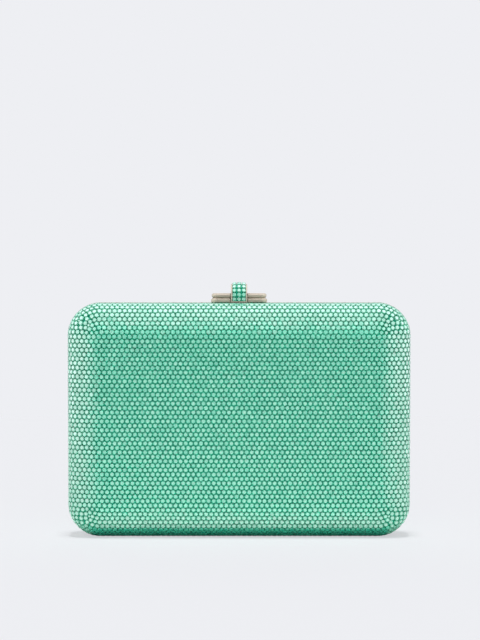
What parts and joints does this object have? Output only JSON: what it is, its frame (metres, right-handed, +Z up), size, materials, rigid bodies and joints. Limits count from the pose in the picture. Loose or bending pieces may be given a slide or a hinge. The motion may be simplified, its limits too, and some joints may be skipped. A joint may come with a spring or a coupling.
{
  "type": "minaudiere clutch",
  "caption": "Hard evening clutch of hinged half shells covered all over with mint crystals, held shut at the top by a jewelled saddle that slides along a gold rail.",
  "frame": {"origin": "middle of the base, on the parting plane between the halves", "axes": "+X to the right seen from the front, +Y from front to back, +Z up"},
  "size_m": [0.165, 0.038, 0.1223],
  "materials": {
    "crystal": "faceted",
    "lacquered_shell": "lacquered",
    "champagne_metal": "polished",
    "hinge_brass": "satin",
    "steel": "satin",
    "lining_leather": "metallic"
  },
  "bodies": {
    "back_half": {"back_shell": "lacquered_shell", "back_stones": "crystal", "back_frame": "champagne_metal", "back_lining": "lining_leather", "back_hinge_leaf": "hinge_brass", "back_hinge_rivets": "hinge_brass", "hinge_pin": "steel", "back_rail": "champagne_metal", "back_rail_rivets": "hinge_brass", "chain_eye_left": "champagne_metal", "chain_eye_right": "champagne_metal"},
    "front_half": {"front_shell": "lacquered_shell", "front_stones": "crystal", "front_frame": "champagne_metal", "front_lining": "lining_leather", "front_hinge_leaf": "hinge_brass", "front_hinge_rivets": "hinge_brass", "front_rail_left": "champagne_metal", "front_rail_right": "champagne_metal", "front_rail_rivets": "hinge_brass"},
    "slider": {"clasp_saddle": "champagne_metal", "saddle_stones": "crystal", "saddle_stem": "steel", "stem_washer": "steel", "spring_washer": "steel"}
  },
  "joints": [
    {"name": "lid_hinge", "type": "hinge", "parent": "back_half", "child": "front_half", "pos_m": [0, 0, 0.0014], "axis": [1, 0, 0], "range_deg": [0, 70]},
    {"name": "saddle_slide", "type": "slide", "parent": "back_half", "child": "slider", "axis": [1, 0, 0], "range_m": [-0.008, 0.008]}
  ]
}
